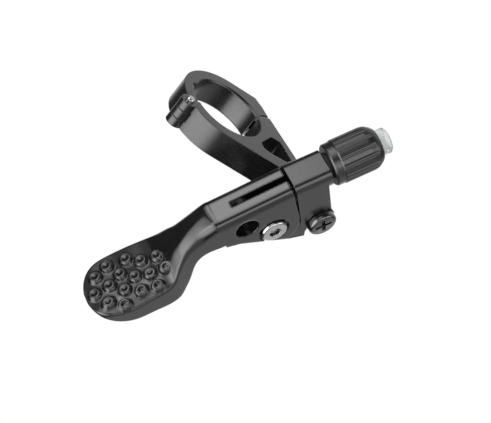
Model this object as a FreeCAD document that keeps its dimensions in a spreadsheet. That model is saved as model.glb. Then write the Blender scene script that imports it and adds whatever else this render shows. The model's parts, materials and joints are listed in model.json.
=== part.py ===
"""Dropper post remote lever: hinged handlebar clamp, lever body, thumb lever and barrel adjuster.

Row frame: origin at the centre of the handlebar bore, +X along the bar, +Y forward, +Z up.
Body frame: origin on the pivot axis at mid thickness, x towards the adjuster,
y out of the thumb face and z along the pivot axis, away from the clamp.
Lever frame: the body frame turned about the pivot by the lever's rest angle.
"""

import FreeCAD, Part
import math
import os
import re
import Sketcher

Vector = FreeCAD.Vector
doc = FreeCAD.newDocument("RemoteLever")
sheet = doc.addObject("Spreadsheet::Sheet", "Sizes")

# Driving sizes, in millimetres and degrees
SIZES = {
    "bar_radius": 11.1,
    "clamp_width": 8.4,
    "clamp_wall": 4.0,
    "bore_chamfer": 0.5,
    "relief_reach": 1.1,
    "relief_low": 2.9,
    "relief_set_in": 1.3,
    "relief_high": 7.7,
    "split_level": -0.6,
    "split_gap": 0.6,
    "dome_radius": 5.2,
    "dome_forward": 14.9,
    "dome_level": -5.5,
    "dome_foot_rise": 0.6,
    "lug_front": 16.5,
    "lug_nose_forward": 15.8,
    "lug_nose_level": 8.1,
    "lug_knee_level": 4.1,
    "leg_knee_forward": 18.05,
    "leg_knee_level": -17.05,
    "window_top_forward": 12.05,
    "window_top_level": -9.3,
    "window_back_forward": 5.7,
    "window_back_high": -13.0,
    "window_back_low": -15.3,
    "window_heel_forward": 7.4,
    "window_heel_level": -16.9,
    "window_sole_forward": 12.5,
    "window_sole_level": -19.4,
    "window_front_forward": 15.25,
    "window_front_low": -18.2,
    "window_front_high": -10.9,
    "window_rounding": 0.8,
    "hinge_offset": 0.4,
    "hinge_level": -1.2,
    "knuckle_radius": 2.6,
    "knuckle_gap": 0.12,
    "hinge_pin_radius": 1.25,
    "hinge_pin_stand_out": 1.0,
    "clamp_bolt_radius": 1.5,
    "clamp_bolt_forward": 13.3,
    "clamp_bolt_depth": 8.0,
    "clamp_head_radius": 2.6,
    "clamp_head_height": 3.0,
    "clamp_head_seat": 5.0,
    "clamp_hex_radius": 1.4,
    "clamp_hex_depth": 1.5,
    "clamp_washer_thickness": 0.5,
    "foot_forward": 19.15,
    "foot_radius": 4.6,
    "foot_height": 8.1,
    "foot_thread_depth": 7.0,
    "foot_screw_radius": 2.5,
    "foot_hole_gap": 0.1,
    "foot_head_radius": 4.3,
    "foot_head_height": 1.9,
    "foot_head_rounding": 0.9,
    "foot_cross_width": 1.1,
    "foot_cross_span": 5.0,
    "foot_cross_depth": 1.3,
    "foot_washer_radius": 4.0,
    "foot_washer_thickness": 0.5,
    "foot_seat_depth": 0.4,
    "foot_seat_radius": 4.8,
    "body_level": -26.6,
    "body_thickness": 10.4,
    "body_turn": 43.0,
    "foot_along": 13.95,
    "foot_below": 5.6,
    "thumb_height": 14.2,
    "edge_straight": 0.7,
    "shoulder": 8.15,
    "seam_gap": 0.15,
    "block_end": 17.6,
    "boss_end": 19.1,
    "adjuster_height": 11.0,
    "block_low": 4.2,
    "corner_along": 8.4,
    "corner_low": 9.5,
    "corner_step": 2.3,
    "seam_turn": 64.8,
    "lever_rest": 3.0,
    "lever_height": 13.7,
    "lug_radius": 4.55,
    "tongue_radius": 5.5,
    "tongue_thickness": 6.0,
    "tongue_low": 8.0,
    "fork_gap": 7.2,
    "fork_clearance": 0.4,
    "bush_radius": 4.0,
    "axle_radius": 3.0,
    "running_gap": 0.04,
    "thrust_thickness": 0.5,
    "thrust_radius": 5.0,
    "pocket_radius": 4.6,
    "pocket_depth": 1.0,
    "pivot_head_radius": 4.0,
    "pivot_head_height": 1.7,
    "pivot_head_rounding": 0.8,
    "pivot_thread_radius": 2.0,
    "pivot_thread_length": 6.0,
    "pivot_socket_radius": 1.9,
    "pivot_socket_depth": 1.1,
    "flat_end": 17.0,
    "cable_slot": 1.9,
    "slot_end": 8.5,
    "barrel_hole_radius": 3.45,
    "barrel_hole_back": 6.94,
    "barrel_hole_height": 7.07,
    "belly_drop": 5.38,
    "belly_slope": 0.674,
    "belly_back": 10.1,
    "neck_low": 2.9,
    "lever_tip": 54.8,
    "paddle_width": 19.2,
    "paddle_bevel": 0.9,
    "stud_base_radius": 2.25,
    "stud_top_radius": 1.75,
    "stud_height": 1.1,
    "stud_bevel": 0.3,
    "stud_dish_radius": 1.0,
    "stud_dish_depth": 0.4,
    "stud_sink": 0.8,
    "thread_radius": 2.5,
    "thread_gap": 0.06,
    "bush_wall": 0.5,
    "bush_length": 7.6,
    "thread_inside": 7.0,
    "cable_hole_radius": 1.2,
    "knob_gap": 0.9,
    "knob_length": 15.0,
    "knob_radius": 6.35,
    "knob_collar_length": 2.4,
    "knob_collar_radius": 6.1,
    "knob_nose_length": 3.6,
    "knob_nose_radius": 4.6,
    "flute_count": 15,
    "flute_radius": 0.75,
    "stem_radius": 3.6,
    "stem_length": 9.0,
    "insert_radius": 3.75,
    "insert_inside": 5.0,
    "insert_outside": 3.2,
    "cable_case_radius": 2.55,
    "cable_case_depth": 6.0,
    "seal_thickness": 0.8,
    "seal_wall": 1.3,
}

for line, (alias, value) in enumerate(SIZES.items(), start=1):
    sheet.set("A%d" % line, alias.replace("_", " "))
    sheet.set("B%d" % line, str(value))
    sheet.setAlias("B%d" % line, alias)
doc.recompute()

FUNCTIONS = {"abs", "cos", "sin", "sqrt"}


def cell(text):
    """The expression with each size's name pointing at the sheet."""
    def named(found):
        word = found.group()
        return word if word in FUNCTIONS else "Sizes." + word
    return re.sub(r"[a-z_]{3,}", named, str(text))


def number(text):
    """The expression's value."""
    return float(sheet.evalExpression(cell(text)))


def plane(body, role):
    """One of the body's own origin planes."""
    return next(item for item in body.Origin.OriginFeatures if item.Role == role)


def sketch(body, role, offset="0"):
    """An empty sketch on an origin plane, raised along its normal."""
    item = body.newObject("Sketcher::SketchObject", body.Name + "Sketch")
    item.AttachmentSupport = [(plane(body, role), "")]
    item.MapMode = "FlatFace"
    item.setExpression("AttachmentOffset.Base.z", cell(offset))
    return item


def hold(item, geometry, end, across, up):
    """Tie a point of the sketch to its place."""
    for kind, text in (("DistanceX", across), ("DistanceY", up)):
        index = item.addConstraint(Sketcher.Constraint(kind, -1, 1, geometry, end, number(text)))
        item.setExpression("Constraints[%d]" % index, cell(text))


def short_arc(start, end, radius):
    """The short arc between two points; seen along the way, a positive radius bulges to the right."""
    chord = end - start
    size = abs(radius)
    drop = math.sqrt(size * size - chord.Length * chord.Length / 4)
    left = Vector(-chord.y, chord.x, 0).normalize()
    centre = (start + end) * 0.5 + left * math.copysign(drop, radius)
    first, last = (start, end) if radius > 0 else (end, start)
    angles = [math.atan2(place.y - centre.y, place.x - centre.x) for place in (first, last)]
    if angles[1] < angles[0]:
        angles[1] += 2 * math.pi
    return Part.ArcOfCircle(Part.Circle(centre, Vector(0, 0, 1), size), *angles)


def outline(item, points):
    """A closed outline of lines, and of arcs where a point gives the radius of the arc that follows."""
    places = [Vector(number(point[0]), number(point[1]), 0) for point in points]
    count = len(points)
    ends = []
    for index, point in enumerate(points):
        start, end = places[index], places[(index + 1) % count]
        if len(point) == 2:
            item.addGeometry(Part.LineSegment(start, end), False)
            ends.append((1, 2))
            continue
        radius = number(point[2])
        item.addGeometry(short_arc(start, end, radius), False)
        ends.append((1, 2) if radius > 0 else (2, 1))
    for index in range(count):
        after = (index + 1) % count
        item.addConstraint(Sketcher.Constraint("Coincident", index, ends[index][1], after, ends[after][0]))
    for index, point in enumerate(points):
        hold(item, index, ends[index][0], point[0], point[1])
        if len(point) == 3:
            size = item.addConstraint(Sketcher.Constraint("Radius", index, abs(number(point[2]))))
            item.setExpression("Constraints[%d]" % size, cell("abs(%s)" % point[2]))
    return item


def circle(item, across, up, radius):
    """A full circle."""
    centre = Vector(number(across), number(up), 0)
    geometry = item.addGeometry(Part.Circle(centre, Vector(0, 0, 1), number(radius)), False)
    hold(item, geometry, 3, across, up)
    size = item.addConstraint(Sketcher.Constraint("Radius", geometry, number(radius)))
    item.setExpression("Constraints[%d]" % size, cell(radius))
    return item


def raise_or_cut(body, kind, profile, length, side):
    """A pad or a pocket: side is both, ahead along the plane's normal, or behind."""
    item = body.newObject("PartDesign::" + kind, body.Name + kind)
    item.Profile = profile
    item.setExpression("Length", cell(length))
    item.SideType = "Symmetric" if side == "both" else "One side"
    backward_is_default = kind == "Pocket"
    if side != "both":
        item.Reversed = (side == "behind") != backward_is_default
    return item


def pad(body, profile, length, side="both"):
    """Material raised from a sketch."""
    return raise_or_cut(body, "Pad", profile, length, side)


def pocket(body, profile, length, side="both"):
    """Material cut along a sketch, which has to make the body lighter."""
    doc.recompute()
    before = body.Shape.Volume
    item = raise_or_cut(body, "Pocket", profile, length, side)
    doc.recompute()
    if body.Shape.Volume > before - 1e-6:
        raise ValueError("a pocket of %s cuts nothing" % body.Label)
    return item


def round_or_bevel(body, kind, size, wanted):
    """Fillet or chamfer every edge of the body that the test picks."""
    doc.recompute()
    base = body.Tip
    names = ["Edge%d" % (index + 1) for index, edge in enumerate(base.Shape.Edges) if wanted(edge)]
    item = body.newObject("PartDesign::" + kind, body.Name + kind)
    item.Base = (base, names)
    item.setExpression("Radius" if kind == "Fillet" else "Size", cell(size))
    doc.recompute()
    return item


def lies_along(edge, direction):
    """Whether the edge is a straight one in that direction."""
    if edge.Curve.TypeId != "Part::GeomLine":
        return False
    return abs(abs(edge.tangentAt(edge.FirstParameter) * direction) - 1) < 1e-6


def new_body(name):
    """A body that becomes one sub-part."""
    return doc.addObject("PartDesign::Body", name)


def turned(name, points):
    """A body of revolution about its own z axis, from an outline of radius and height."""
    body = new_body(name)
    profile = outline(sketch(body, "XZ_Plane"), points)
    item = body.newObject("PartDesign::Revolution", name + "Turn")
    item.Profile = profile
    item.ReferenceAxis = (profile, ["V_Axis"])
    item.Angle = 360
    return body


# Placements of the body frame and of what turns in it
turn = math.radians(number("body_turn"))
ALONG = Vector(math.cos(turn), math.sin(turn), 0)
THUMB = Vector(math.sin(turn), -math.cos(turn), 0)
AWAY = Vector(0, 0, -1)
foot_place = Vector(0, number("foot_forward"), number("body_level - body_thickness / 2"))
pivot_place = foot_place - ALONG * number("foot_along") + THUMB * number("foot_below")
BODY_FRAME = FreeCAD.Placement(pivot_place, FreeCAD.Rotation(ALONG, THUMB, AWAY, "XYZ"))


def in_body(along="0", thumb="0", away="0", axis=Vector(0, 0, 1)):
    """Placement, in the body frame, of a turned piece whose own z axis lies along the given axis."""
    place = Vector(number(along), number(thumb), number(away))
    return BODY_FRAME.multiply(FreeCAD.Placement(place, FreeCAD.Rotation(Vector(0, 0, 1), axis)))


BODY_X = Vector(1, 0, 0)
LEVER_TURN = FreeCAD.Placement(Vector(0, 0, 0), FreeCAD.Rotation(Vector(0, 0, 1), number("lever_rest")))
LEVER_FRAME = BODY_FRAME.multiply(LEVER_TURN)

# Names for sizes that several pieces share
OUTER = "(bar_radius + clamp_wall)"
HINGE_BACK = "-(bar_radius + clamp_wall + hinge_offset)"
FOOT_X = "foot_along"
FOOT_Y = "-foot_below"
HALF = "(body_thickness / 2)"
FOOT_SEAT = "(body_thickness / 2 - foot_seat_depth)"
POCKET_FLOOR = "(body_thickness / 2 - pocket_depth)"
KNOB_START = "(boss_end + knob_gap)"
EDGE_ROUNDING = "(thumb_height - adjuster_height - edge_straight)"
KNOB_END = "(boss_end + knob_gap + knob_length)"
FAR = "(bar_radius * 3)"


def split_line(body, dome, gap, side):
    """Outline of what lies beyond the clamp's split: above it (side 1) or below it (side -1)."""
    foot = "(dome_level + dome_foot_rise)"
    reach = "sqrt((%s) * (%s) - dome_foot_rise * dome_foot_rise)" % (dome, dome)
    return outline(sketch(body, "YZ_Plane"), [
        ("-" + FAR, "split_level + (%s)" % gap),
        ("0", "split_level + (%s)" % gap),
        ("0", foot),
        ("dome_forward - " + reach, foot, "-(%s)" % dome),
        ("dome_forward + " + reach, foot),
        ("dome_forward + " + reach, "%d * %s" % (side, FAR)),
        ("-" + FAR, "%d * %s" % (side, FAR)),
    ])


def is_bore_rim(edge):
    """Whether the edge is part of the handlebar bore's rim."""
    curve = edge.Curve
    if curve.TypeId != "Part::GeomCircle" or abs(abs(curve.Axis.x) - 1) > 1e-6:
        return False
    on_axis = math.hypot(curve.Center.y, curve.Center.z) < 1e-6
    return on_axis and abs(curve.Radius - number("bar_radius")) < 1e-6


def knuckle_clearance(body, width, side, offset):
    """Room round the hinge for the other half's knuckle."""
    profile = circle(sketch(body, "YZ_Plane", offset), HINGE_BACK, "hinge_level",
                     "knuckle_radius + knuckle_gap")
    pocket(body, profile, width, side)


def clamp_arm():
    """Lower clamp half with its windowed arm, and the foot that carries the lever body."""
    body = new_body("clamp_arm")
    pad(body, circle(sketch(body, "YZ_Plane"), "0", "0", OUTER), "clamp_width")
    leg = outline(sketch(body, "YZ_Plane"), [
        ("0", "lug_knee_level"),
        ("lug_front", "lug_knee_level"),
        ("leg_knee_forward", "leg_knee_level"),
        ("foot_forward", "body_level + foot_height - 1.5"),
        ("foot_forward", "body_level"),
        ("foot_forward - foot_radius", "body_level"),
        ("-0.5 * " + OUTER, "-sqrt(0.75) * " + OUTER),
    ])
    pad(body, leg, "clamp_width")
    foot = circle(sketch(body, "XY_Plane", "body_level"), "0", "foot_forward", "foot_radius")
    pad(body, foot, "foot_height", "ahead")
    pocket(body, split_line(body, "dome_radius", "-split_gap / 2", 1), "clamp_width * 3")
    pad(body, circle(sketch(body, "YZ_Plane"), HINGE_BACK, "hinge_level", "knuckle_radius"),
        "clamp_width")
    pocket(body, circle(sketch(body, "YZ_Plane"), "0", "0", "bar_radius"), "clamp_width * 3")
    knuckle_clearance(body, "clamp_width / 3 + 2 * knuckle_gap", "both", "0")
    pocket(body, circle(sketch(body, "YZ_Plane"), HINGE_BACK, "hinge_level", "hinge_pin_radius"),
           "clamp_width * 3")
    window = outline(sketch(body, "YZ_Plane"), [
        ("window_top_forward", "window_top_level"),
        ("window_back_forward", "window_back_high"),
        ("window_back_forward", "window_back_low"),
        ("window_heel_forward", "window_heel_level"),
        ("window_sole_forward", "window_sole_level"),
        ("window_front_forward", "window_front_low"),
        ("window_front_forward", "window_front_high"),
    ])
    pocket(body, window, "clamp_width * 3")
    thread = circle(sketch(body, "XY_Plane", "-clamp_bolt_depth"), "0", "clamp_bolt_forward",
                    "clamp_bolt_radius")
    pocket(body, thread, "clamp_bolt_depth * 2", "ahead")
    screw = circle(sketch(body, "XY_Plane", "body_level"), "0", "foot_forward", "foot_screw_radius")
    pocket(body, screw, "foot_thread_depth", "ahead")
    low, high = number("window_sole_level"), number("window_top_level")
    back, front = number("window_back_forward"), number("window_front_forward")

    def is_window_corner(edge):
        middle = edge.CenterOfMass
        inside = low - 0.01 <= middle.z <= high + 0.01 and back - 0.01 <= middle.y <= front + 0.01
        return lies_along(edge, Vector(1, 0, 0)) and inside

    round_or_bevel(body, "Fillet", "window_rounding", is_window_corner)
    round_or_bevel(body, "Chamfer", "bore_chamfer", is_bore_rim)
    return body


def clamp_band():
    """Upper clamp half: hinged at the back, bolted at the front."""
    body = new_body("clamp_band")
    pad(body, circle(sketch(body, "YZ_Plane"), "0", "0", OUTER), "clamp_width")
    lug = outline(sketch(body, "YZ_Plane"), [
        ("0", "-bar_radius"),
        ("0.5 * " + OUTER, "sqrt(0.75) * " + OUTER),
        ("lug_nose_forward", "lug_nose_level"),
        ("lug_front", "lug_knee_level"),
        ("lug_front", "-bar_radius"),
    ])
    pad(body, lug, "clamp_width")
    pocket(body, split_line(body, "dome_radius + split_gap", "split_gap / 2", -1), "clamp_width * 3")
    pad(body, circle(sketch(body, "YZ_Plane"), HINGE_BACK, "hinge_level", "knuckle_radius"),
        "clamp_width / 3")
    pocket(body, circle(sketch(body, "YZ_Plane"), "0", "0", "bar_radius"), "clamp_width * 3")
    knuckle_clearance(body, "clamp_width", "ahead", "clamp_width / 6")
    knuckle_clearance(body, "clamp_width", "behind", "-clamp_width / 6")
    pocket(body, circle(sketch(body, "YZ_Plane"), HINGE_BACK, "hinge_level", "hinge_pin_radius"),
           "clamp_width * 3")
    for level, side in (("clamp_width / 2 - bore_chamfer", "ahead"), ("bore_chamfer - clamp_width / 2", "behind")):
        relief = outline(sketch(body, "YZ_Plane", level), [
            ("relief_set_in - bar_radius", "relief_high"),
            ("-(bar_radius + relief_reach)", "relief_low"),
            ("-(bar_radius + relief_reach)", "-bar_radius"),
            ("0", "-bar_radius"),
            ("0", "relief_high"),
        ])
        pocket(body, relief, "bore_chamfer * 2", side)
    shank = circle(sketch(body, "XY_Plane", "-bar_radius"), "0", "clamp_bolt_forward",
                   "clamp_bolt_radius")
    pocket(body, shank, "bar_radius * 3", "ahead")
    head = circle(sketch(body, "XY_Plane", "clamp_head_seat"), "0", "clamp_bolt_forward",
                  "clamp_head_radius")
    pocket(body, head, "bar_radius", "ahead")
    round_or_bevel(body, "Chamfer", "bore_chamfer", is_bore_rim)
    return body


def hinge_pin():
    """Pin of the clamp's hinge, standing out on the near side."""
    body = turned("hinge_pin", [
        ("0", "0"),
        ("hinge_pin_radius - 0.2", "0"),
        ("hinge_pin_radius", "0.2"),
        ("hinge_pin_radius", "clamp_width + hinge_pin_stand_out - 0.3"),
        ("hinge_pin_radius - 0.3", "clamp_width + hinge_pin_stand_out"),
        ("0", "clamp_width + hinge_pin_stand_out"),
    ])
    place = Vector(-number("clamp_width / 2"), number(HINGE_BACK), number("hinge_level"))
    body.Placement = FreeCAD.Placement(place, FreeCAD.Rotation(Vector(0, 0, 1), Vector(1, 0, 0)))
    return body


def hex_socket(body, radius, depth, top):
    """Six-sided socket cut down from the head's top."""
    corners = []
    for step in range(6):
        angle = 60 * step
        corners.append(("(%s) * cos(%d)" % (radius, angle), "(%s) * sin(%d)" % (radius, angle)))
    pocket(body, outline(sketch(body, "XY_Plane", top), corners), depth, "behind")


def clamp_bolt():
    """Socket head bolt that closes the clamp; its head lies on a washer in the counterbore."""
    shank_end = "-clamp_head_seat - clamp_washer_thickness - clamp_bolt_depth + 0.4"
    body = turned("clamp_bolt", [
        ("0", shank_end),
        ("clamp_bolt_radius", shank_end),
        ("clamp_bolt_radius", "0"),
        ("clamp_head_radius - 0.1", "0"),
        ("clamp_head_radius - 0.1", "clamp_head_height - 0.3"),
        ("clamp_head_radius - 0.4", "clamp_head_height"),
        ("0", "clamp_head_height"),
    ])
    hex_socket(body, "clamp_hex_radius", "clamp_hex_depth", "clamp_head_height")
    body.Placement.Base = Vector(0, number("clamp_bolt_forward"),
                                 number("clamp_head_seat + clamp_washer_thickness"))
    return body


def foot_screw():
    """Cross-recess pan head screw through the body's lug into the foot."""
    shank_end = "-body_thickness + foot_seat_depth - foot_washer_thickness - foot_thread_depth + 0.4"
    body = turned("foot_screw", [
        ("0", shank_end),
        ("foot_screw_radius", shank_end),
        ("foot_screw_radius", "0"),
        ("foot_head_radius", "0"),
        ("foot_head_radius", "foot_head_height - foot_head_rounding", "foot_head_rounding"),
        ("foot_head_radius - foot_head_rounding", "foot_head_height"),
        ("0", "foot_head_height"),
    ])
    for wide, long in (("foot_cross_width", "foot_cross_span"), ("foot_cross_span", "foot_cross_width")):
        slot = outline(sketch(body, "XY_Plane", "foot_head_height"), [
            ("-%s / 2" % wide, "-%s / 2" % long),
            ("%s / 2" % wide, "-%s / 2" % long),
            ("%s / 2" % wide, "%s / 2" % long),
            ("-%s / 2" % wide, "%s / 2" % long),
        ])
        pocket(body, slot, "foot_cross_depth", "behind")
    body.Placement = in_body(FOOT_X, FOOT_Y, FOOT_SEAT + " + foot_washer_thickness")
    return body


def ring(name, inner, outer, thickness):
    """A flat ring."""
    return turned(name, [
        (inner, "0"),
        (outer, "0"),
        (outer, thickness),
        (inner, thickness),
    ])


def clamp_bolt_washer():
    """Washer on the counterbore's floor, under the clamp bolt's head."""
    body = ring("clamp_bolt_washer", "clamp_bolt_radius + foot_hole_gap", "clamp_head_radius - 0.1",
                "clamp_washer_thickness")
    body.Placement.Base = Vector(0, number("clamp_bolt_forward"), number("clamp_head_seat"))
    return body


def foot_lock_washer():
    """Washer under the foot screw's head."""
    body = ring("foot_lock_washer", "foot_screw_radius + foot_hole_gap", "foot_washer_radius",
                "foot_washer_thickness")
    body.Placement = in_body(FOOT_X, FOOT_Y, FOOT_SEAT)
    return body


def housing():
    """Lever body: thumb-side block, adjuster boss, foot lug and pivot tongue."""
    body = new_body("housing")
    swing = "(shoulder + 0.05)"
    block = outline(sketch(body, "XY_Plane"), [
        ("shoulder", "thumb_height"),
        ("shoulder", "0"),
        (swing, "0", "-" + swing),
        (swing + " * cos(seam_turn)", "-%s * sin(seam_turn)" % swing),
        ("corner_along", "-corner_low"),
        ("corner_along + 0.6", "-corner_low + corner_step"),
        (FOOT_X, "-corner_low + corner_step"),
        ("block_end", "-block_low"),
        ("block_end", "thumb_height"),
    ])
    pad(body, block, "body_thickness")
    pad(body, circle(sketch(body, "XY_Plane"), FOOT_X, FOOT_Y, "lug_radius"), "body_thickness")
    boss = sketch(body, "YZ_Plane", "shoulder + 1")
    outline(boss, [
        ("adjuster_height", "-" + HALF),
        ("thumb_height", "-" + HALF),
        ("thumb_height", HALF),
        ("adjuster_height", HALF, HALF),
        ("adjuster_height - " + HALF, "0", HALF),
    ])
    pad(body, boss, "boss_end - shoulder - 1", "ahead")
    top = number("thumb_height")

    def is_thumb_edge(edge):
        return lies_along(edge, BODY_X) and abs(edge.CenterOfMass.y - top) < 1e-4

    round_or_bevel(body, "Fillet", EDGE_ROUNDING, is_thumb_edge)
    tongue = outline(sketch(body, "XY_Plane"), [
        ("0", "tongue_radius", "tongue_radius"),
        ("-tongue_radius", "0", "tongue_radius"),
        ("0", "-tongue_radius"),
        ("shoulder + 2", "-tongue_low"),
        ("shoulder + 2", "tongue_radius"),
    ])
    pad(body, tongue, "tongue_thickness")
    pocket(body, circle(sketch(body, "XY_Plane"), "0", "0", "bush_radius"), "body_thickness")
    pocket(body, circle(sketch(body, "XY_Plane"), FOOT_X, FOOT_Y, "foot_screw_radius + foot_hole_gap"),
           "body_thickness * 2")
    seat = circle(sketch(body, "XY_Plane", FOOT_SEAT), FOOT_X, FOOT_Y, "foot_seat_radius")
    pocket(body, seat, "foot_seat_depth + 1", "ahead")
    bush = circle(sketch(body, "YZ_Plane", "boss_end"), "adjuster_height", "0",
                  "thread_radius + thread_gap + bush_wall")
    pocket(body, bush, "bush_length", "behind")
    cable = circle(sketch(body, "YZ_Plane", "boss_end"), "adjuster_height", "0", "cable_hole_radius")
    pocket(body, cable, "boss_end", "behind")
    body.Placement = BODY_FRAME
    return body


# Stations of the neck and paddle, from the flat's end to the tip: share of the way, top and bottom as
# shares of the lever height, half width of the top and of the sides as shares of half the paddle's
# width, and drop of the rounded edge as a share of the flat's rounding
STATIONS = (
    (-0.090, 1.000, 0.212, 0.281, 0.542, 1.00),
    (-0.053, 1.003, 0.224, 0.281, 0.542, 1.00),
    (-0.020, 0.976, 0.236, 0.281, 0.542, 1.00),
    (0.045, 0.898, 0.263, 0.295, 0.542, 0.90),
    (0.146, 0.766, 0.175, 0.343, 0.545, 0.75),
    (0.196, 0.686, 0.020, 0.390, 0.567, 0.65),
    (0.254, 0.577, -0.190, 0.500, 0.660, 0.55),
    (0.310, 0.437, -0.308, 0.620, 0.770, 0.45),
    (0.370, 0.270, -0.365, 0.800, 0.905, 0.35),
    (0.450, 0.204, -0.372, 0.900, 0.975, 0.28),
    (0.582, 0.193, -0.325, 0.955, 1.005, 0.18),
    (0.741, 0.175, -0.259, 0.975, 1.020, 0.17),
    (0.865, 0.211, -0.129, 0.850, 0.915, 0.22),
    (0.950, 0.198, -0.001, 0.580, 0.670, 0.25),
    (0.984, 0.191, 0.035, 0.340, 0.420, 0.25),
    (1.000, 0.188, 0.060, 0.120, 0.200, 0.25),
)

# Places of the studs on the paddle: distance from the pivot and offset from the middle
STUDS = (
    (31.3, 2.8), (32.3, -2.0), (35.3, 6.6), (35.9, 2.0), (36.8, -3.1), (39.9, 5.7), (40.0, 0.6), (40.4, -5.7),
    (43.5, -2.3), (44.0, 2.9), (45.6, 7.4), (46.1, -6.3), (47.4, -0.2), (49.4, 4.7), (50.1, -4.4), (52.0, 0.4),
)


def station_along(share):
    """Place of a station along the body frame's x, as an expression."""
    return "-(flat_end + (lever_tip - flat_end) * (%s))" % share


def blade_section(body, station):
    """Section of the neck or paddle: rounded beside its face, bevelled underneath."""
    share, top, bottom, face, side, edge = station
    item = sketch(body, "YZ_Plane", station_along(share))
    high = "lever_height * (%s)" % top
    low = "lever_height * (%s)" % bottom
    broad = "paddle_width / 2 * %s" % side
    narrow = "paddle_width / 2 * %s" % face
    fall = "(%s * %s)" % (EDGE_ROUNDING, edge)
    run = "(%s - %s)" % (broad, narrow)
    shoulder_radius = "(%s * %s + %s * %s) / (2 * %s)" % (run, run, fall, fall, fall)
    rise = " + paddle_bevel"
    return outline(item, [
        (high, "-" + narrow),
        (high, narrow, shoulder_radius),
        (high + " - " + fall, broad),
        (low + rise, broad),
        (low, narrow),
        (low, "-" + narrow),
        (low + rise, "-" + broad),
        (high + " - " + fall, "-" + broad, shoulder_radius),
    ])


def lever_core():
    """The lever without its studs."""
    body = new_body("lever_core")
    face = "(shoulder - seam_gap)"
    arc = face
    low_slope = "(-belly_drop - belly_slope * (%s))"
    pad(body, outline(sketch(body, "XY_Plane"), [
        (face, "lever_height"),
        (face, "0", "-" + arc),
        (arc + " * cos(seam_turn + lever_rest)", "-%s * sin(seam_turn + lever_rest)" % arc),
        ("-belly_back", low_slope % "-belly_back"),
        ("-flat_end + 3", "neck_low"),
        ("-flat_end + 3", "lever_height"),
    ]), "body_thickness")
    top = number("lever_height")

    def is_thumb_edge(edge):
        return lies_along(edge, BODY_X) and abs(edge.CenterOfMass.y - top) < 1e-4

    round_or_bevel(body, "Fillet", EDGE_ROUNDING, is_thumb_edge)
    loft = body.newObject("PartDesign::AdditiveLoft", "lever_blade_loft")
    sections = [blade_section(body, station) for station in STATIONS]
    loft.Profile = sections[0]
    loft.Sections = sections[1:]
    loft.Ruled = False
    room = "(tongue_radius + fork_clearance)"
    fork = outline(sketch(body, "XY_Plane"), [
        ("shoulder + 2", room),
        ("0", room, room),
        ("-" + room, "0"),
        ("-" + room, "-lever_height"),
        ("shoulder + 2", "-lever_height"),
    ])
    pocket(body, fork, "fork_gap")
    slot = outline(sketch(body, "XY_Plane"), [
        ("shoulder + 2", "lever_height + 2"),
        ("-slot_end", "lever_height + 2"),
        ("-slot_end", "barrel_hole_height"),
        ("shoulder + 2", "tongue_radius"),
    ])
    pocket(body, slot, "cable_slot")
    hole = circle(sketch(body, "XY_Plane"), "-barrel_hole_back", "barrel_hole_height",
                  "barrel_hole_radius")
    pocket(body, hole, "body_thickness * 2")
    pocket(body, circle(sketch(body, "XY_Plane"), "0", "0", "axle_radius + running_gap"),
           "body_thickness * 2")
    for level, side in ((POCKET_FLOOR, "ahead"), ("-" + POCKET_FLOOR, "behind")):
        seat = circle(sketch(body, "XY_Plane", level), "0", "0", "pocket_radius")
        pocket(body, seat, "pocket_depth + 1", side)
    return body


def stud(name):
    """Round dished stud that stands on the paddle."""
    return turned(name, [
        ("0", "-stud_sink"),
        ("stud_base_radius", "-stud_sink"),
        ("stud_base_radius", "0"),
        ("stud_top_radius", "stud_height - stud_bevel"),
        ("stud_top_radius - stud_bevel", "stud_height"),
        ("stud_dish_radius", "stud_height"),
        ("0", "stud_height - stud_dish_depth"),
    ])


def lever_blade():
    """Thumb lever in one casting: fork, cable slot, barrel hole, neck and studded paddle."""
    core = lever_core()
    doc.recompute()
    shape = core.Shape
    studs = []
    for index, (back, across) in enumerate(STUDS, start=1):
        above = Vector(-back, number("lever_height"), across)
        ray = Part.makeLine(above, above - Vector(0, number("lever_height * 2"), 0))
        level = max(vertex.Point.y for vertex in shape.common(ray).Vertexes)
        upright = FreeCAD.Rotation(Vector(0, 0, 1), Vector(0, 1, 0))
        piece = stud("stud_%02d" % index)
        piece.Placement = FreeCAD.Placement(Vector(-back, level, across), upright)
        studs.append(piece)
    fused = doc.addObject("Part::MultiFuse", "lever_blade")
    fused.Shapes = [core] + studs
    fused.Placement = LEVER_FRAME
    return fused


def pivot_bolt():
    """Silver button head screw in the near cheek's pocket."""
    body = turned("pivot_bolt", [
        ("0", "-pivot_thread_length"),
        ("pivot_thread_radius", "-pivot_thread_length"),
        ("pivot_thread_radius", "0"),
        ("pivot_head_radius", "0"),
        ("pivot_head_radius", "pivot_head_height - pivot_head_rounding", "pivot_head_rounding"),
        ("pivot_head_radius - pivot_head_rounding", "pivot_head_height"),
        ("0", "pivot_head_height"),
    ])
    hex_socket(body, "pivot_socket_radius", "pivot_socket_depth", "pivot_head_height")
    body.Placement = in_body(away=POCKET_FLOOR)
    return body


def pivot_axle():
    """Flanged sleeve nut that the lever turns with, from the far pocket to the bolt's head."""
    length = "2 * " + POCKET_FLOOR
    body = turned("pivot_axle", [
        ("0", "-pocket_depth + 0.2"),
        ("pivot_head_radius", "-pocket_depth + 0.2"),
        ("pivot_head_radius", "0"),
        ("axle_radius", "0"),
        ("axle_radius", length),
        ("pivot_thread_radius", length),
        ("pivot_thread_radius", length + " - pivot_thread_length - 0.5"),
        ("0", length + " - pivot_thread_length - 0.5"),
    ])
    body.Placement = in_body(away="-" + POCKET_FLOOR)
    return body


def pivot_bush(name, start):
    """Plain bearing bush in half of the tongue's bore."""
    body = ring(name, "axle_radius + running_gap", "bush_radius", "tongue_thickness / 2 - 0.1")
    body.Placement = in_body(away=start)
    return body


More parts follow.
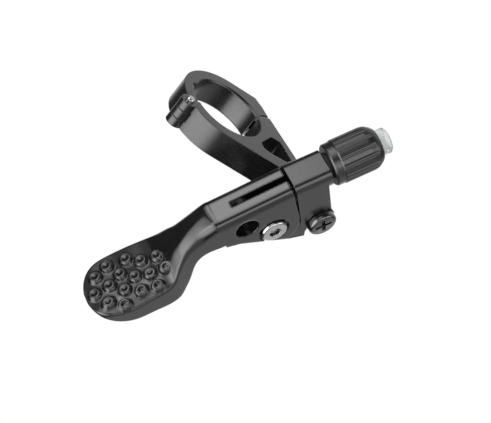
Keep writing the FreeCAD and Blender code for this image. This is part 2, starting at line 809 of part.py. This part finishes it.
def thrust_washer(name, start):
    """Slippery washer between the tongue and a cheek."""
    body = ring(name, "axle_radius + running_gap", "thrust_radius", "thrust_thickness")
    body.Placement = in_body(away=start)
    return body


def thread_bush():
    """Threaded bush in the boss."""
    inner = "thread_radius + thread_gap"
    body = ring("thread_bush", inner, inner + " + bush_wall", "bush_length")
    body.Placement = in_body("boss_end - bush_length", "adjuster_height", axis=BODY_X)
    return body


def adjuster_barrel():
    """Hollow threaded barrel: thread in the boss, thicker stem in the knob."""
    body = turned("adjuster_barrel", [
        ("cable_hole_radius", "-knob_gap - thread_inside"),
        ("thread_radius", "-knob_gap - thread_inside"),
        ("thread_radius", "0"),
        ("stem_radius", "0"),
        ("stem_radius", "stem_length"),
        ("cable_hole_radius", "stem_length"),
    ])
    body.Placement = in_body(KNOB_START, "adjuster_height", axis=BODY_X)
    return body


def adjuster_knob():
    """Fluted knob with a smooth collar and a rounded nose."""
    collar = "knob_collar_length"
    nose = "knob_length - knob_nose_length"
    body = turned("adjuster_knob", [
        ("stem_radius", "0"),
        ("knob_collar_radius - 0.4", "0"),
        ("knob_collar_radius", "0.4"),
        ("knob_collar_radius", collar),
        ("knob_radius", collar + " + 0.3"),
        ("knob_radius", nose, "knob_nose_length * 1.35"),
        ("knob_nose_radius", "knob_length"),
        ("insert_radius + thread_gap", "knob_length"),
        ("insert_radius + thread_gap", "stem_length"),
        ("stem_radius", "stem_length"),
    ])
    flute = circle(sketch(body, "XY_Plane", collar + " + 0.3"), "knob_radius + flute_radius * 0.35", "0",
                   "flute_radius")
    cut = pocket(body, flute, "knob_length", "ahead")
    flutes = body.newObject("PartDesign::PolarPattern", "knob_flutes")
    flutes.Originals = [cut]
    flutes.Axis = (plane(body, "Z_Axis"), [""])
    flutes.Angle = 360
    flutes.setExpression("Occurrences", cell("flute_count"))
    body.Tip = flutes
    body.Placement = in_body(KNOB_START, "adjuster_height", axis=BODY_X)
    return body


def cable_insert():
    """Pale ferrule seat in the knob's outer end: socket for the cable's casing, hole for the cable."""
    body = turned("cable_insert", [
        ("cable_hole_radius", "-insert_inside"),
        ("insert_radius", "-insert_inside"),
        ("insert_radius", "insert_outside - 0.5"),
        ("insert_radius - 0.5", "insert_outside"),
        ("cable_case_radius", "insert_outside"),
        ("cable_case_radius", "insert_outside - cable_case_depth"),
        ("cable_hole_radius", "insert_outside - cable_case_depth"),
    ])
    body.Placement = in_body(KNOB_END, "adjuster_height", axis=BODY_X)
    return body


def seal_ring():
    """Rubber ring round the barrel between the boss and the knob."""
    inner = "thread_radius + thread_gap"
    body = ring("seal_ring", inner, inner + " + seal_wall", "seal_thickness")
    body.Placement = in_body(KNOB_START + " - seal_thickness", "adjuster_height", axis=BODY_X)
    return body


PIECES = [
    clamp_arm(),
    clamp_band(),
    hinge_pin(),
    clamp_bolt(),
    clamp_bolt_washer(),
    foot_screw(),
    foot_lock_washer(),
    housing(),
    lever_blade(),
    pivot_bolt(),
    pivot_axle(),
    pivot_bush("pivot_bush_front", "0.1"),
    pivot_bush("pivot_bush_back", "-tongue_thickness / 2"),
    thrust_washer("thrust_washer_front", "tongue_thickness / 2 + 0.05"),
    thrust_washer("thrust_washer_back", "-tongue_thickness / 2 - thrust_thickness - 0.05"),
    thread_bush(),
    adjuster_barrel(),
    adjuster_knob(),
    cable_insert(),
    seal_ring(),
]
doc.recompute()

for item in doc.Objects:
    if "Invalid" in item.State or "Error" in item.State:
        raise ValueError("%s failed: %s" % (item.Name, item.State))
for piece in PIECES:
    if piece.Shape.isNull() or not piece.Shape.isValid():
        raise ValueError("%s has no valid shape" % piece.Label)

os.makedirs("parts", exist_ok=True)
for piece in PIECES:
    piece.Shape.exportStep(os.path.join("parts", piece.Label + ".step"))
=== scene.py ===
"""Dropper post remote lever: materials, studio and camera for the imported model."""

import json
import math
from collections import namedtuple

import bpy
from mathutils import Matrix, Vector


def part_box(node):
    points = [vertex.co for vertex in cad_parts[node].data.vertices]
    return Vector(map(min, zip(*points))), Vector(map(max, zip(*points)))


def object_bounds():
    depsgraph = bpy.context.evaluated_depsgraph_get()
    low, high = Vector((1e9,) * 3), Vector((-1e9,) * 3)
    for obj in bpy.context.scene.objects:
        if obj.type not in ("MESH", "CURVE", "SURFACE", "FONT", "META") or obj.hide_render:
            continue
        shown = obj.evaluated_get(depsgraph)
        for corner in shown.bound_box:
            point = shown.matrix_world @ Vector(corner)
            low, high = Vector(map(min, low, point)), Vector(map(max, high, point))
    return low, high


MM = 0.001
WHITE = (1, 1, 1, 1)

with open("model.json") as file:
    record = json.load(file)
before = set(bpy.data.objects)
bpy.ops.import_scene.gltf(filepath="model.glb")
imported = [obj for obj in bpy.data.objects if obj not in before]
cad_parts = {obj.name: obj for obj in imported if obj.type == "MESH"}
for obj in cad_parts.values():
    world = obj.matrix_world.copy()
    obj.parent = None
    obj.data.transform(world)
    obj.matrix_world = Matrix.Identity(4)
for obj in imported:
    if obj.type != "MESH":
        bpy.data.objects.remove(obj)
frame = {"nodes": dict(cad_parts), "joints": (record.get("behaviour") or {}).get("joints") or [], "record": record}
cad_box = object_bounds()


def middle(box):
    """Centre of a box, from its lowest and highest corners."""
    lowest, highest = box
    return (lowest + highest) / 2


# Places that the frame gives, in metres
OBJECT_CENTRE = middle(cad_box)
FOOT_SCREW_AXIS = middle(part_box("foot_screw"))
LEVER_PIVOT = next(joint["pos_m"] for joint in frame["joints"] if joint["name"] == "lever_press")

# Most of the noise lies between these two levels
NOISE_LOW = 0.3
NOISE_HIGH = 0.7
NOISE_ROUGHNESS = 0.55
NOISE_DETAIL = 3.0

# Rays for a softened edge or for the painted shade in a recess, and how fast that painted shade darkens
RAY_SAMPLES = 8
PAINTED_SHADE_POWER = 2.5


class Nodes:
    """Short forms for building a tree of nodes."""

    def __init__(self, tree):
        self.tree = tree

    def feed(self, entry, value):
        """Link an output to an input, or set a plain value on the input."""
        if isinstance(value, bpy.types.NodeSocket):
            self.tree.links.new(value, entry)
        else:
            entry.default_value = value

    def add(self, kind, inputs=None, **properties):
        """A node with its properties set and its inputs fed."""
        node = self.tree.nodes.new(kind)
        for name, value in properties.items():
            setattr(node, name, value)
        for key, value in (inputs or {}).items():
            self.feed(node.inputs[key], value)
        return node

    def math(self, operation, *values):
        """Result of a math node over numbers and outputs."""
        return self.add("ShaderNodeMath", dict(enumerate(values)), operation=operation).outputs[0]

    def root_of_squares(self, first, second):
        """Square root of the sum of two squares."""
        square = self.math("MULTIPLY", second, second)
        return self.math("SQRT", self.math("MULTIPLY_ADD", first, first, square))

    def dot(self, vector, direction):
        """Dot product of an output and a plain direction."""
        node = self.add("ShaderNodeVectorMath", {0: vector, 1: direction}, operation="DOT_PRODUCT")
        return node.outputs["Value"]

    def rise(self, value, start, end, height=1.0):
        """Smooth rise from zero to a height while a value goes from a start to an end."""
        inputs = {"Value": value, "From Min": start, "From Max": end, "To Min": 0.0, "To Max": height}
        return self.add("ShaderNodeMapRange", inputs, interpolation_type="SMOOTHSTEP").outputs["Result"]


class Finish(Nodes):
    """A material built from nodes round one Principled shader."""

    def __init__(self, name):
        self.material = bpy.data.materials.new(name)
        self.material.use_nodes = True
        super().__init__(self.material.node_tree)
        self.shader = self.tree.nodes["Principled BSDF"]
        self.place = self.add("ShaderNodeTexCoord").outputs["Object"]

    def shade(self, name, value):
        """Feed one of the shader's own inputs."""
        self.feed(self.shader.inputs[name], value)

    def noise(self, per_mm, detail=NOISE_DETAIL):
        """Noise fixed to the object, with its scale in cells for each millimetre."""
        inputs = {"Vector": self.place, "Scale": per_mm / MM, "Detail": detail, "Roughness": NOISE_ROUGHNESS}
        return self.add("ShaderNodeTexNoise", inputs).outputs["Fac"]

    def along(self, direction, start=0.0):
        """Distance along a direction of the frame, from a start."""
        return self.math("SUBTRACT", self.dot(self.place, direction), start)

    def reach(self, axis):
        """Distance from an axis that runs along Z through a point."""
        return self.root_of_squares(self.along((1, 0, 0), axis[0]), self.along((0, 1, 0), axis[1]))

    def dome(self, distance, strength):
        """Height that falls with the square of a distance."""
        return self.math("MULTIPLY", self.math("MULTIPLY", distance, distance), -strength)

    def roughen(self, noise, smooth, rough):
        """Roughness that follows a noise."""
        inputs = {"Value": noise, "From Min": NOISE_LOW, "From Max": NOISE_HIGH,
                  "To Min": smooth, "To Max": rough}
        self.shade("Roughness", self.add("ShaderNodeMapRange", inputs).outputs["Result"])

    def tint(self, noise, dark, light, recess):
        """Base colour that follows a noise, with painted shade that darkens it in recesses of a given reach."""
        blend = self.add("ShaderNodeValToRGB", {"Fac": noise})
        stops = blend.color_ramp.elements
        for stop, position, colour in zip(stops, (NOISE_LOW, NOISE_HIGH), (dark, light)):
            stop.position = position
            stop.color = (*colour, 1)
        colour = blend.outputs["Color"]
        # Painted shade: ambient occlusion scales the base colour down, so recesses come out darker.
        if recess:
            painted_shade_occlusion = self.add("ShaderNodeAmbientOcclusion", {"Distance": recess}, samples=RAY_SAMPLES)
            painted_shade_scale = self.math("POWER", painted_shade_occlusion.outputs["AO"], PAINTED_SHADE_POWER)
            inputs = {0: colour, "Scale": painted_shade_scale}
            colour = self.add("ShaderNodeVectorMath", inputs, operation="SCALE").outputs["Vector"]
        self.shade("Base Color", colour)

    def bumped(self, height, below, scale=1.0):
        """Normal of a height in metres, times a scale, over the normal below it."""
        inputs = {"Height": height, "Distance": scale}
        if below:
            inputs["Normal"] = below
        return self.add("ShaderNodeBump", inputs).outputs["Normal"]

    def relief(self, grain, depth, edge, crown):
        """Fine grain over a crown, over edges that are softened by a radius."""
        normal = None
        if edge:
            bevel = self.add("ShaderNodeBevel", {"Radius": edge}, samples=RAY_SAMPLES)
            normal = bevel.outputs["Normal"]
        if crown:
            normal = self.bumped(crown(self), normal)
        self.shade("Normal", self.bumped(grain, normal, depth))


# Crown across the lever's neck and paddle. Its ridge falls along the lever, both sides slope away
# from the ridge, and the lean tilts them together.
LEVER_DIRECTION = Vector((-0.77, -0.64, 0))
CROWN_START = 14 * MM
CROWN_FULL = 22 * MM
RIDGE_LEVEL = -27.3 * MM
RIDGE_FALL = 0.2
RIDGE_ROUNDING = 1.5 * MM
CROWN_SLOPE = 0.25
CROWN_LEAN = 0.05

# Domes of two screw heads, in metres of height for each square metre
SCREW_DOME = 60.0
RING_DOME = 130.0
RING_RADIUS = 2.5 * MM


def lever_crown(finish):
    """Slight crown across the neck and the thumb paddle; the fork's flat top stays flat."""
    across = finish.along(LEVER_DIRECTION * RIDGE_FALL + Vector((0, 0, 1)), RIDGE_LEVEL)
    drop = finish.math("SUBTRACT", finish.root_of_squares(across, RIDGE_ROUNDING), RIDGE_ROUNDING)
    height = finish.math("MULTIPLY_ADD", across, CROWN_LEAN, finish.math("MULTIPLY", drop, -CROWN_SLOPE))
    share = finish.rise(finish.along(LEVER_DIRECTION), CROWN_START, CROWN_FULL)
    return finish.math("MULTIPLY", height, share)


def screw_crown(finish):
    """Domed top of the foot screw's head."""
    return finish.dome(finish.reach(FOOT_SCREW_AXIS), SCREW_DOME)


def ring_crown(finish):
    """Rounded ring of the pivot bolt's head, round its recess."""
    return finish.dome(finish.math("SUBTRACT", finish.reach(LEVER_PIVOT), RING_RADIUS), RING_DOME)


# Noise of each family: cells for each millimetre in tone, gloss and bump, and the bump's detail
Grain = namedtuple("Grain", "tone gloss bump bump_detail")
ANODISED_GRAIN = Grain(tone=0.35, gloss=0.8, bump=9.0, bump_detail=2.0)
STEEL_GRAIN = Grain(tone=0.6, gloss=2.5, bump=8.0, bump_detail=2.0)
MOULDED_GRAIN = Grain(tone=0.4, gloss=1.2, bump=7.0, bump_detail=3.0)
ANODISED_DEPTH_MM = 0.0008
STEEL_DEPTH_MM = 0.0004

# Plain values on the shader of each metal
ANODISED = {"Metallic": 0.0, "IOR": 1.7, "Coat Weight": 0.3, "Coat Roughness": 0.12}
STEEL = {"Metallic": 1.0}


def surface(name, values, grain, tones, roughness, edge_mm, depth_mm, crown=None, painted_shade_mm=0.0):
    """A material with cloudy tones, uneven gloss and a fine bump over softened edges, and painted shade in
    recesses when a reach is given.
    """
    finish = Finish(name)
    for key, value in values.items():
        finish.shade(key, value)
    finish.tint(finish.noise(grain.tone), *tones, painted_shade_mm * MM)
    finish.roughen(finish.noise(grain.gloss), *roughness)
    finish.relief(finish.noise(grain.bump, grain.bump_detail), depth_mm * MM, edge_mm * MM, crown)
    return finish.material


def anodised(name, tones, roughness, edge_mm, crown=None):
    """Black anodised metal with a thin clear coat: nearly neutral and satin."""
    return surface(name, ANODISED, ANODISED_GRAIN, tones, roughness, edge_mm, ANODISED_DEPTH_MM, crown)


def steel(name, tones, roughness, edge_mm=0.12, crown=None, painted_shade_mm=0.0):
    """Bare or plated metal, slightly uneven in gloss, with painted shade in recesses when a reach is given."""
    return surface(name, STEEL, STEEL_GRAIN, tones, roughness, edge_mm, STEEL_DEPTH_MM, crown, painted_shade_mm)


def moulded(name, tones, roughness, values=None, edge_mm=0.15, depth_mm=0.003):
    """Moulded plastic or rubber."""
    return surface(name, values or {}, MOULDED_GRAIN, tones, roughness, edge_mm, depth_mm)


def greys(dark, light):
    """Two neutral tones."""
    return (dark,) * 3, (light,) * 3


# Dark and light tone of the pieces that aren't neutral
CREAM_TONES = (0.66, 0.64, 0.58), (0.72, 0.70, 0.64)
BRASS_TONES = (0.62, 0.42, 0.16), (0.72, 0.52, 0.22)
PALE_TONES = (0.90, 0.93, 0.92), (0.94, 0.96, 0.95)

# Plain values on the shader of the knob and of the pale insert
GLOSSY = {"IOR": 1.85}
MILKY = {"IOR": 1.35, "Transmission Weight": 0.65}

MATERIALS = {
    "arm_black": anodised("arm_black", greys(0.012, 0.018), (0.25, 0.31), edge_mm=0.4),
    "body_black": anodised("body_black", greys(0.012, 0.018), (0.20, 0.27), edge_mm=0.3),
    "lever_black": anodised(
        "lever_black", greys(0.010, 0.015), (0.13, 0.19), edge_mm=0.8, crown=lever_crown),
    "black_steel": steel("black_steel", greys(0.11, 0.15), (0.22, 0.30)),
    "domed_black_steel": steel(
        "domed_black_steel", greys(0.16, 0.20), (0.20, 0.28), edge_mm=0.3, crown=screw_crown),
    "bright_steel": steel("bright_steel", greys(0.58, 0.70), (0.16, 0.24), edge_mm=0.2),
    # The pivot bolt's recess gets painted shade in its base colour.
    "pivot_steel": steel(
        "pivot_steel", greys(0.62, 0.72), (0.18, 0.24), edge_mm=0.3, crown=ring_crown, painted_shade_mm=0.9),
    "bearing_plastic": moulded("bearing_plastic", CREAM_TONES, (0.40, 0.50)),
    "brass_insert": steel("brass_insert", BRASS_TONES, (0.25, 0.35)),
    "knob_black": moulded("knob_black", greys(0.012, 0.020), (0.28, 0.34), GLOSSY, depth_mm=0.001),
    "pale_plastic": moulded(
        "pale_plastic", PALE_TONES, (0.12, 0.18), MILKY, edge_mm=0.3, depth_mm=0.0004),
    "black_rubber": moulded("black_rubber", greys(0.008, 0.014), (0.60, 0.75)),
}

# Nodes that don't wear the material of their slot in the record
OWN_MATERIAL = {
    "lever_blade": "lever_black",
    "foot_screw": "domed_black_steel",
    "pivot_bolt": "pivot_steel",
}

for row in frame["record"]["subparts"]:
    slots = frame["nodes"][row["node"]].data.materials
    slots.clear()
    slots.append(MATERIALS[OWN_MATERIAL.get(row["node"], row["material_slot"])])


# Camera: fitted to the ring, arm and body of the photograph
CAMERA_PLACE = Vector((131.8, -202.8, -181.4)) * MM
CAMERA_RIGHT = Vector((0.58, 0.705, -0.407))
CAMERA_UP = Vector((0.656, -0.108, 0.747))
SENSOR_MM = 36.0
LENS_MM = 76.3
CLIP_NEAR = 1 * MM
CLIP_FAR = 20


def make_camera():
    """Perspective camera at the photograph's viewing angle."""
    data = bpy.data.cameras.new("camera")
    data.sensor_fit = "HORIZONTAL"
    data.sensor_width = SENSOR_MM
    data.lens = LENS_MM
    data.clip_start = CLIP_NEAR
    data.clip_end = CLIP_FAR
    camera = bpy.data.objects.new("camera", data)
    bpy.context.scene.collection.objects.link(camera)
    right = CAMERA_RIGHT.normalized()
    back = right.cross(CAMERA_UP).normalized()
    up = back.cross(right)
    turn = Matrix((right, up, back)).transposed().to_4x4()
    camera.matrix_world = Matrix.Translation(CAMERA_PLACE) @ turn
    bpy.context.scene.camera = camera
    return camera


camera = make_camera()
BEHIND_OBJECT = -camera.matrix_world.to_3x3().col[2]

# Lamps for the plain light, which reflections don't show: direction, side in metres, power in watts
LAMPS = {
    "overhead_box": ((0.58, -0.60, 0.55), 0.40, 1.3),
    "low_left_box": ((-0.45, -0.84, -0.30), 0.30, 0.5),
}
LAMP_DISTANCE = 0.6


def softbox(name, direction, side, power):
    """A square area lamp that faces the object."""
    data = bpy.data.lights.new(name, "AREA")
    data.shape = "SQUARE"
    data.size = side
    data.energy = power
    lamp = bpy.data.objects.new(name, data)
    bpy.context.scene.collection.objects.link(lamp)
    away = Vector(direction).normalized()
    lamp.location = OBJECT_CENTRE + away * LAMP_DISTANCE
    lamp.rotation_mode = "QUATERNION"
    lamp.rotation_quaternion = away.to_track_quat("Z", "Y")
    lamp.visible_camera = False
    lamp.visible_glossy = False
    return lamp


for name, (direction, side, power) in LAMPS.items():
    softbox(name, direction, side, power)

# The studio that the black metal mirrors: direction, inner and outer angle in degrees, strength.
# Beside each field stands what mirrors it most in the photograph's view.
FIELDS = (
    (BEHIND_OBJECT, 25, 46, 1.0),  # the knob's outline and other faces at a low angle
    ((0.58, -0.62, 0.50), 20, 25, 1.9),  # tops of the fork and the housing, and the paddle
    ((0.60, -0.60, 0.53), 2, 12, 2.2),  # the brightest part of those tops
    ((0.66, -0.74, 0.13), 14, 18, 1.8),  # the paddle's studs
    ((0.28, -0.94, 0.17), 11, 15, 1.5),  # the paddle's face and the neck
    ((-0.06, -0.97, 0.12), 16, 20, 2.1),  # the neck
    ((0.48, 0.70, 0.53), 20, 45, 0.75),  # flat faces of the arm and the clamp, square to the bar
    ((-0.45, -0.84, -0.30), 12, 44, 4.0),  # outer rounds of the arm and the clamp
    ((0.42, -0.32, -0.85), 8, 34, 2.6),  # the knob's ribs and the fork's rounded edges
    ((0.72, 0.40, -0.57), 8, 26, 2.0),  # the studs and the clamp's edges
    ((-0.45, 0.72, -0.53), 20, 50, 0.62),  # sides of the lever and the housing
)
FIELD_COLOUR = (0.8, 0.8, 0.8, 1)
DARK_LEVEL = 0.04
AMBIENT_LEVEL = 0.45
BACKDROP_LEVEL = 1.0


def mirrored_level(tree):
    """Strength of the studio that reflections show, from the fields over a dark level."""
    towards = tree.add("ShaderNodeTexCoord").outputs["Generated"]
    level = DARK_LEVEL
    for direction, inner, outer, strength in FIELDS:
        nearness = tree.dot(towards, Vector(direction).normalized())
        edge, core = (math.cos(math.radians(angle)) for angle in (outer, inner))
        level = tree.math("ADD", level, tree.rise(nearness, edge, core, strength))
    return level


def studio():
    """White backdrop for the camera and the see-through parts, and the fields for reflections."""
    world = bpy.data.worlds.new("studio")
    bpy.context.scene.world = world
    world.use_nodes = True
    tree = Nodes(world.node_tree)

    def background(colour, strength):
        """A plain background."""
        return tree.add("ShaderNodeBackground", {"Color": colour, "Strength": strength}).outputs[0]

    def choose(test, otherwise, chosen):
        """One background for the rays that pass a test, and another for the rest."""
        return tree.add("ShaderNodeMixShader", {0: test, 1: otherwise, 2: chosen}).outputs[0]

    mirrored = background(FIELD_COLOUR, mirrored_level(tree))
    backdrop = background(WHITE, BACKDROP_LEVEL)
    ambient = world.node_tree.nodes["Background"]
    tree.feed(ambient.inputs["Color"], WHITE)
    tree.feed(ambient.inputs["Strength"], AMBIENT_LEVEL)
    ray = tree.add("ShaderNodeLightPath").outputs
    seen = tree.math("MAXIMUM", ray["Is Camera Ray"], ray["Is Transmission Ray"])
    light = choose(ray["Is Glossy Ray"], ambient.outputs[0], mirrored)
    light = choose(seen, light, backdrop)
    tree.feed(world.node_tree.nodes["World Output"].inputs["Surface"], light)


studio()

FLOOR_HALF = 0.28
FLOOR_LEVEL = -0.6


def pale_floor():
    """Plain floor far below the object."""
    mesh = bpy.data.meshes.new("floor")
    signs = (-1, -1), (1, -1), (1, 1), (-1, 1)
    corners = [(x * FLOOR_HALF, y * FLOOR_HALF, FLOOR_LEVEL) for x, y in signs]
    mesh.from_pydata(corners, [], [(0, 1, 2, 3)])
    floor = bpy.data.objects.new("floor", mesh)
    bpy.context.scene.collection.objects.link(floor)
    pale = moulded("floor_pale", greys(0.74, 0.80), (0.70, 0.80), edge_mm=0.0, depth_mm=0.01)
    floor.data.materials.append(pale)
    return floor


pale_floor()

bpy.context.scene.view_settings.view_transform = "Standard"
